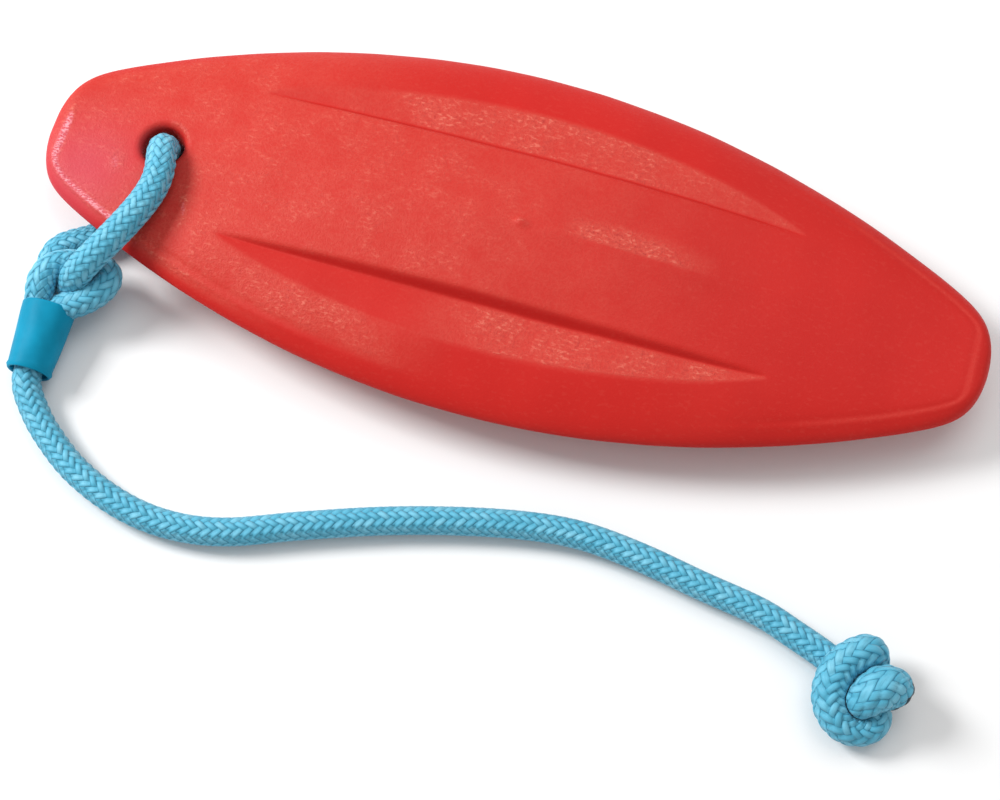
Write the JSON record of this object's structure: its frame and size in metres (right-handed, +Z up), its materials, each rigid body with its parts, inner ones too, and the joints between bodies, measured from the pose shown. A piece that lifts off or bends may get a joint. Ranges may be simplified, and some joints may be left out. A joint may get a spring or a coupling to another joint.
{
  "type": "throw float with rope",
  "caption": "Small moulded foam float shaped like a surfboard, with a rope loop through its tail linked to a throw line that ends in a stopper knot.",
  "frame": {"origin": "on the surface that the float rests on, below the middle of its length and width", "axes": "+X along the float towards its nose, away from the rope hole; +Y across it, away from the throw line; +Z up through the deck"},
  "size_m": [0.3032, 0.1802, 0.033],
  "materials": {
    "foam_skin": "semi-matte moulded foam skin with a fine leathery grain",
    "rope": "braided rope of light blue strands",
    "sleeve": "smooth satin blue sleeve"
  },
  "bodies": {
    "board": {"float_body": "foam_skin"},
    "loop": {"hole_loop": "rope"},
    "line": {"line_eye": "rope", "rope_sleeve": "sleeve", "line_run": "rope", "stopper_knot": "rope"}
  },
  "joints": [
    {"name": "loop_swivel", "type": "hinge", "parent": "board", "child": "loop", "pos_m": [-0.1135, 0, 0.017], "axis": [0, 0, 1], "range_deg": [-10, 3]},
    {"name": "line_swing", "type": "hinge", "parent": "loop", "child": "line", "pos_m": [-0.127, -0.0486, 0.014], "axis": [0, 0, 1], "range_deg": [-15, 5]}
  ]
}
